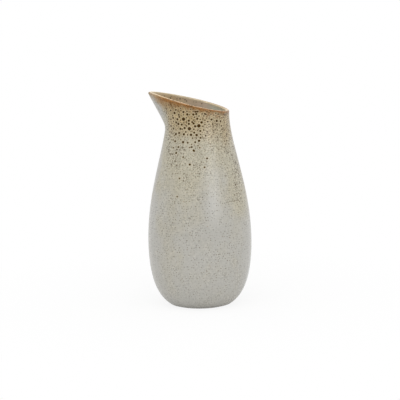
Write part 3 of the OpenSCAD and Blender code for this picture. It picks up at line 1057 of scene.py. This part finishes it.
# Distances from the edge of a spot, in mm
SPOT_RAGGED = 0.9
SPOT_SOFT = 0.2
HALO_END = 1.1
CLEAR_TO = 0.5
SPECKED_FROM = 1.4
deep = add(tree, "ShaderNodeMapRange",
           {"Value": rich, 1: DARKEN_FROM, 2: DARKEN_FULL, 3: DARK_POOR, 4: DARK_RICH})[0]
dark = add(tree, "ShaderNodeMath", {0: dark, 1: deep}, operation="MULTIPLY")[0]
edge = add(tree, "ShaderNodeMath", {0: flecks, 1: SPOT_RAGGED, 2: edge}, operation="MULTIPLY_ADD")[0]
edge = add(tree, "ShaderNodeMath", {0: edge, 1: SPOT_RAGGED / 2}, operation="SUBTRACT")[0]
halo = add(tree, "ShaderNodeMapRange", {"Value": edge, 1: HALO_END, 2: SPOT_SOFT, 3: 0.0, 4: HALO_SHARE},
           **SMOOTH)[0]
ground = add(tree, "ShaderNodeMix", {0: halo, MIX_A: ground, MIX_B: linear(HALO)},
             data_type="RGBA")[MIX_OUT]
clear = add(tree, "ShaderNodeMapRange", {"Value": edge, 1: CLEAR_TO, 2: SPECKED_FROM})[0]
dark = add(tree, "ShaderNodeMath", {0: dark, 1: clear}, operation="MULTIPLY")[0]
spot = add(tree, "ShaderNodeMapRange", {"Value": edge, 1: SPOT_SOFT, 2: -SPOT_SOFT})[0]
dark = add(tree, "ShaderNodeMath", {0: dark, 1: spot}, operation="MAXIMUM")[0]
outside = add(tree, "ShaderNodeMath", {0: 1.0, 1: within}, operation="SUBTRACT")[0]
dark = add(tree, "ShaderNodeMath", {0: dark, 1: outside}, operation="MULTIPLY")[0]
colour = add(tree, "ShaderNodeMix", {0: dark, MIX_A: ground, MIX_B: linear(IRON)},
             data_type="RGBA")[MIX_OUT]
print("nodes with the spots:", len(tree.nodes))

# %% [markdown]
# The surface is satin: this glaze is glass clouded by fine crystals, with an index of 1.45. It is a little
# rougher where the clouds are, smoother on the lower half, where the glaze is thick, and glassy in the
# spots. A fine peel and the pits of the specks are bump, because they are shallower than a tenth of a
# millimetre.

# %% Reactive glaze, surface
GLAZE_IOR = 1.45
SATIN = 0.30
SATIN_CLOUDED = 0.38
SATIN_Z = 130.0
GLOSSY_Z = 70.0
LOW_GLOSS = 0.1
SPOT_GLOSS = 0.14
PEEL_SIZE = 1.2
PEEL_DEPTH = 0.05 * MM
PEEL_STRENGTH = 0.25
PIT = 1.5
satin = add(tree, "ShaderNodeMapRange",
            {"Value": clouds, 1: NOISE_LOW, 2: NOISE_HIGH, 3: SATIN, 4: SATIN_CLOUDED})[0]
gloss = add(tree, "ShaderNodeMapRange",
            {"Value": axes["Z"], 1: SATIN_Z, 2: GLOSSY_Z, 3: 0.0, 4: -LOW_GLOSS})[0]
rough = add(tree, "ShaderNodeMath", {0: satin, 1: gloss}, operation="ADD")[0]
rough = add(tree, "ShaderNodeMath", {0: dark, 1: -SPOT_GLOSS, 2: rough}, operation="MULTIPLY_ADD")[0]
peel = add(tree, "ShaderNodeTexNoise", {"Vector": place_mm, "Scale": 1 / PEEL_SIZE, "Detail": 2.0})[0]
pitted = add(tree, "ShaderNodeMath", {0: dark, 1: -PIT, 2: peel}, operation="MULTIPLY_ADD")[0]
bump = add(tree, "ShaderNodeBump", {"Strength": PEEL_STRENGTH, "Distance": PEEL_DEPTH, "Height": pitted})[0]
shader = add(tree, "ShaderNodeBsdfPrincipled",
             {"Base Color": colour, "Roughness": rough, "Normal": bump, "IOR": GLAZE_IOR})[0]
add(tree, "ShaderNodeOutputMaterial", {"Surface": shader})
print("nodes in the reactive glaze:", len(tree.nodes))

# %% [markdown]
# ## Liner glaze finish
#
# The liner is a clearer glass with less iron. It is olive brown in the beak, mauve along the side and
# grey-green at the back, and its dots of iron are thickest towards the beak and stop just short of the
# lip. It looks darker down in the bowl only because less light gets there.

# %% Liner finish, colours
LINER = "#ac936d"
LINER_MAUVE = "#c9b7a4"
LINER_GREY = "#c8c8b6"
LINER_CLOUD = 18.0
# Places across in mm, shifted by the clouds, at which one colour gives way to the next
LINER_SHIFT = 24.0
MAUVE_FROM = -10.0
MAUVE_FULL = 20.0
GREY_FROM = 18.0
GREY_FULL = 36.0
# Drops below the crest in mm at which the beige of the lip ends and is full
BEIGE_END = 3.5
BEIGE_FULL = 1.0
BEIGE_SHARE = 0.6
liner_glaze, tree, place_mm = new_finish("satin_liner_glaze")
axes = add(tree, "ShaderNodeSeparateXYZ", {0: place_mm})
drop = add(tree, "ShaderNodeAttribute", attribute_name="rim_drop")["Fac"]
clouds = add(tree, "ShaderNodeTexNoise", {"Vector": place_mm, "Scale": 1 / LINER_CLOUD, "Detail": 3.0})[0]
across = add(tree, "ShaderNodeMath", {0: clouds, 1: LINER_SHIFT, 2: axes["X"]}, operation="MULTIPLY_ADD")[0]
mauve_share = add(tree, "ShaderNodeMapRange", {"Value": across, 1: MAUVE_FROM, 2: MAUVE_FULL}, **SMOOTH)[0]
grey_share = add(tree, "ShaderNodeMapRange", {"Value": across, 1: GREY_FROM, 2: GREY_FULL}, **SMOOTH)[0]
beige_share = add(tree, "ShaderNodeMapRange",
                  {"Value": drop, 1: BEIGE_END, 2: BEIGE_FULL, 3: 0.0, 4: BEIGE_SHARE}, **SMOOTH)[0]
ground = linear(LINER)
for share, colour in [(mauve_share, LINER_MAUVE), (grey_share, LINER_GREY), (beige_share, LIP_INSIDE)]:
    ground = add(tree, "ShaderNodeMix", {0: share, MIX_A: ground, MIX_B: linear(colour)},
                 data_type="RGBA")[MIX_OUT]
print("nodes for the colours of the liner:", len(tree.nodes))

# %% Liner finish, dots and surface
LINER_DOTS = 2.6
DOTS_MANY_X = -6.0
DOTS_FEW_X = 24.0
DOTS_MANY = 0.95
DOTS_FEW = 0.05
# Radii and soft edges in shares of a cell
DOT_SMALLEST = 0.2
DOT_LARGEST = 0.42
DOT_SOFT_OUT = 0.02
DOT_SOFT_IN = 0.08
DOT_SHARE = 0.9
DOTS_END = 2.0
DOTS_FULL = 3.5
LINER_IOR = 1.5
LINER_CLOUDED = 0.42
LINER_PEEL = 1.5
LINER_PEEL_STRENGTH = 0.2
cells = add(tree, "ShaderNodeTexVoronoi", {"Vector": place_mm, "Scale": 1 / LINER_DOTS})
chance = add(tree, "ShaderNodeSeparateColor", {0: cells["Color"]})
fewer = add(tree, "ShaderNodeMapRange",
            {"Value": across, 1: DOTS_MANY_X, 2: DOTS_FEW_X, 3: DOTS_MANY, 4: DOTS_FEW})[0]
present = add(tree, "ShaderNodeMath", {0: chance[1], 1: fewer}, operation="LESS_THAN")[0]
radius = add(tree, "ShaderNodeMapRange", {"Value": chance[0], 3: DOT_SMALLEST, 4: DOT_LARGEST})[0]
inside = add(tree, "ShaderNodeMath", {0: radius, 1: cells["Distance"]}, operation="SUBTRACT")[0]
dot = add(tree, "ShaderNodeMapRange",
          {"Value": inside, 1: -DOT_SOFT_OUT, 2: DOT_SOFT_IN, 3: 0.0, 4: DOT_SHARE})[0]
dot = add(tree, "ShaderNodeMath", {0: dot, 1: present}, operation="MULTIPLY")[0]
below_lip = add(tree, "ShaderNodeMapRange", {"Value": drop, 1: DOTS_END, 2: DOTS_FULL})[0]
dot = add(tree, "ShaderNodeMath", {0: dot, 1: below_lip}, operation="MULTIPLY")[0]
colour = add(tree, "ShaderNodeMix", {0: dot, MIX_A: ground, MIX_B: linear(IRON)},
             data_type="RGBA")[MIX_OUT]
rough = add(tree, "ShaderNodeMapRange",
            {"Value": clouds, 1: NOISE_LOW, 2: NOISE_HIGH, 3: SATIN, 4: LINER_CLOUDED})[0]
peel = add(tree, "ShaderNodeTexNoise", {"Vector": place_mm, "Scale": 1 / LINER_PEEL, "Detail": 2.0})[0]
bump = add(tree, "ShaderNodeBump",
           {"Strength": LINER_PEEL_STRENGTH, "Distance": PEEL_DEPTH, "Height": peel})[0]
shader = add(tree, "ShaderNodeBsdfPrincipled",
             {"Base Color": colour, "Roughness": rough, "Normal": bump, "IOR": LINER_IOR})[0]
add(tree, "ShaderNodeOutputMaterial", {"Surface": shader})
print("nodes in the liner glaze:", len(tree.nodes))

# %% [markdown]
# ## Bare stoneware
#
# Unglazed stoneware is a buff clay with grog, the ground fired clay that keeps it from cracking. It is
# matt and slightly rough, darker and lighter in soft clouds, and speckled with pale grains about a
# millimetre apart.

# %% Stoneware finish
CLAY = "#a59588"
CLAY_DARK = "#85766b"
CLAY_PALE = "#c2b3a2"
CLAY_CLOUD = 9.0
GROG_PITCH = 1.1
# Radii of a grain in shares of the pitch, and the chance above which a grain is pale
GRAIN_EDGE = 0.34
GRAIN_CORE = 0.2
PALE_ABOVE = 0.6
GRIT_SIZE = 0.5
GRIT_DEPTH = 0.1 * MM
GRIT_STRENGTH = 0.5
MATT = 0.75
MATT_GRITTY = 0.9
bare_clay, tree, place_mm = new_finish("bare_stoneware")
clouds = add(tree, "ShaderNodeTexNoise", {"Vector": place_mm, "Scale": 1 / CLAY_CLOUD, "Detail": 4.0})[0]
grog = add(tree, "ShaderNodeTexVoronoi", {"Vector": place_mm, "Scale": 1 / GROG_PITCH})
chance = add(tree, "ShaderNodeSeparateColor", {0: grog["Color"]})
grain = add(tree, "ShaderNodeMapRange", {"Value": grog["Distance"], 1: GRAIN_EDGE, 2: GRAIN_CORE})[0]
pale = add(tree, "ShaderNodeMath", {0: chance[0], 1: PALE_ABOVE}, operation="GREATER_THAN")[0]
pale = add(tree, "ShaderNodeMath", {0: grain, 1: pale}, operation="MULTIPLY")[0]
colour = linear(CLAY)
for share, over_it in [(clouds, CLAY_DARK), (pale, CLAY_PALE)]:
    colour = add(tree, "ShaderNodeMix", {0: share, MIX_A: colour, MIX_B: linear(over_it)},
                 data_type="RGBA")[MIX_OUT]
grit = add(tree, "ShaderNodeTexNoise", {"Vector": place_mm, "Scale": 1 / GRIT_SIZE, "Detail": 3.0})[0]
bump = add(tree, "ShaderNodeBump", {"Strength": GRIT_STRENGTH, "Distance": GRIT_DEPTH, "Height": grit})[0]
rough = add(tree, "ShaderNodeMapRange",
            {"Value": grit, 1: NOISE_LOW, 2: NOISE_HIGH, 3: MATT, 4: MATT_GRITTY})[0]
shader = add(tree, "ShaderNodeBsdfPrincipled", {"Base Color": colour, "Roughness": rough, "Normal": bump})[0]
add(tree, "ShaderNodeOutputMaterial", {"Surface": shader})
print("nodes in the bare stoneware:", len(tree.nodes))

# %% [markdown]
# ## Dressing the pieces
#
# Each coat takes its finish, rides on the one body of the frame, and stands for the plain coat of the
# frame that it covers.

# %% Dress the pieces
dressing = [
    (outer_coat, reactive, "outer_glaze", "outer_glaze"),
    (lip_band, reactive, "rim_glaze", "rim_glaze"),
    (liner_coat, liner_glaze, "liner_glaze", "liner_glaze"),
    (stoneware, bare_clay, "clay_body", "stoneware_clay"),
    (base_patch, reactive, "base_glaze", "base_glaze"),
]
for piece, finish, node, slot in dressing:
    piece.data.materials.append(finish)
    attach(piece, "root")
    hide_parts(node)
    print(piece.name, "wears", finish.name, "and stands for", node)

# %% [markdown]
# ## Floor
#
# The carafe stands on a sheet of white paper. Lit by lamps alone, paper comes out grey, so it shines a
# plain white of its own to the camera and to reflections. Near the foot it shines less, above all in
# reflections, and shows more of the real light, which keeps the soft shadow of the pot.

# %% Floor
FLOOR_HALF = 0.5
floor_mesh = bpy.data.meshes.new("studio_floor")
floor_corners = [(-FLOOR_HALF, -FLOOR_HALF, 0), (FLOOR_HALF, -FLOOR_HALF, 0),
                 (FLOOR_HALF, FLOOR_HALF, 0), (-FLOOR_HALF, FLOOR_HALF, 0)]
floor_mesh.from_pydata(floor_corners, [], [(0, 1, 2, 3)])
floor = bpy.data.objects.new("studio_floor", floor_mesh)
bpy.context.scene.collection.objects.link(floor)
print("side of the paper in metres:", 2 * FLOOR_HALF)

# %% Paper finish
PAPER_GREY = (0.9, 0.9, 0.9, 1.0)
WHITE = (1.0, 1.0, 1.0, 1.0)
# How white the paper shines near the foot, and between which distances in mm that grows to full white
NEAR_WHITE = 0.88
WHITE_NEAR = 80.0
WHITE_FAR = 300.0
NEAR_MIRRORED = 0.35
MIRRORED_NEAR = 50.0
MIRRORED_FAR = 200.0
paper, tree, place_mm = new_finish("white_paper")
seen = add(tree, "ShaderNodeLightPath")
direct = add(tree, "ShaderNodeMath", {0: seen["Is Camera Ray"], 1: seen["Is Transmission Ray"]},
             operation="MAXIMUM")[0]
away = add(tree, "ShaderNodeVectorMath", {0: place_mm}, operation="LENGTH")["Value"]
whiteness = add(tree, "ShaderNodeMapRange",
                {"Value": away, 1: WHITE_NEAR, 2: WHITE_FAR, 3: NEAR_WHITE, 4: 1.0})[0]
direct = add(tree, "ShaderNodeMath", {0: direct, 1: whiteness}, operation="MULTIPLY")[0]
mirrored = add(tree, "ShaderNodeMapRange",
               {"Value": away, 1: MIRRORED_NEAR, 2: MIRRORED_FAR, 3: NEAR_MIRRORED, 4: 1.0})[0]
mirrored = add(tree, "ShaderNodeMath", {0: mirrored, 1: seen["Is Glossy Ray"]}, operation="MULTIPLY")[0]
share = add(tree, "ShaderNodeMath", {0: direct, 1: mirrored}, operation="MAXIMUM")[0]
matt = add(tree, "ShaderNodeBsdfDiffuse", {"Color": PAPER_GREY})[0]
white = add(tree, "ShaderNodeEmission", {"Color": WHITE, "Strength": 1.0})[0]
surface = add(tree, "ShaderNodeMixShader", {0: share, 1: matt, 2: white})[0]
add(tree, "ShaderNodeOutputMaterial", {"Surface": surface})
floor.data.materials.append(paper)
print("nodes in the paper:", len(tree.nodes))

# %% [markdown]
# ## Light
#
# A white surround lights the pot evenly from all sides. To reflections it is white behind the pot and dim
# behind the camera, as a room is, so that the dark spots stay dark. A wide lamp overhead, a weak one low
# at the right and one at the front, which reflections don't see, shape the belly. The two sheens come
# from lamps that only reflections see, which keeps the shading and the sheen apart.

# %% White surround
AMBIENT = 0.685
ROOM = 0.08
# Y of the direction seen, from -1 at the camera's side to 1 behind the pot: dim up to the first, and
# white from the second
DIM_TO = -0.5
WHITE_FROM = 0.2
world = bpy.data.worlds.new("white_studio")
bpy.context.scene.world = world
world.use_nodes = True
tree = world.node_tree
tree.nodes.clear()
seen = add(tree, "ShaderNodeLightPath")
direct = add(tree, "ShaderNodeMath", {0: seen["Is Camera Ray"], 1: seen["Is Glossy Ray"]},
             operation="MAXIMUM")[0]
direct = add(tree, "ShaderNodeMath", {0: direct, 1: seen["Is Transmission Ray"]}, operation="MAXIMUM")[0]
towards = add(tree, "ShaderNodeSeparateXYZ", {0: add(tree, "ShaderNodeTexCoord")["Generated"]})
mirrored = add(tree, "ShaderNodeMapRange",
               {"Value": towards["Y"], 1: DIM_TO, 2: WHITE_FROM, 3: ROOM, 4: 1.0})[0]
shown = add(tree, "ShaderNodeMath", {0: seen["Is Camera Ray"], 1: mirrored}, operation="MAXIMUM")[0]
brightness = add(tree, "ShaderNodeMapRange", {"Value": direct, 3: AMBIENT, 4: shown})[0]
surround = add(tree, "ShaderNodeBackground", {"Color": WHITE, "Strength": brightness})[0]
add(tree, "ShaderNodeOutputWorld", {"Surface": surround})
print("ambient light and the dim room:", AMBIENT, ROOM)

# %% Lamps
LAMP_AIM = (0.0, 0.0, 0.13)
# Each lamp is its name, place and size in metres, and its watts
LAMPS = [
    ("overhead_lamp", (0.0, -0.5, 1.45), (1.2, 1.2), 9.0),
    ("right_lamp", (1.6, -0.6, 0.15), (1.4, 1.4), 1.4),
    ("front_lamp", (0.0, -2.0, 1.0), (1.0, 1.0), 3.2),
    ("right_sheen", (1.0, -1.32, 0.7), (0.8, 1.0), 9.0),
    ("left_sheen", (-0.98, -1.35, 0.75), (0.8, 1.0), 2.0),
]


def soft_lamp(name, place, size, watts):
    """A rectangular lamp at a place, turned to face the belly: it tips by the angle between its height
    and its distance over the floor, and turns by its direction on the floor."""
    data = bpy.data.lights.new(name, "AREA")
    data.shape = "RECTANGLE"
    data.size, data.size_y = size
    data.energy = watts
    lamp = bpy.data.objects.new(name, data)
    away = np.asarray(place) - np.asarray(LAMP_AIM)
    flat = math.hypot(away[0], away[1])
    lamp.rotation_euler = (math.atan2(flat, away[2]), 0.0, math.atan2(away[0], -away[1]))
    lamp.location = place
    bpy.context.scene.collection.objects.link(lamp)
    return lamp


lamps = {entry[0]: soft_lamp(*entry) for entry in LAMPS}
lamps["front_lamp"].visible_glossy = False
lamps["right_sheen"].visible_diffuse = False
lamps["left_sheen"].visible_diffuse = False
print("lamps:", list(lamps))

# %% [markdown]
# ## Finish
#
# The dressed carafe has to keep the size of the frame. At the end the view layer is brought up to date.

# %% Finish
bpy.context.view_layer.update()
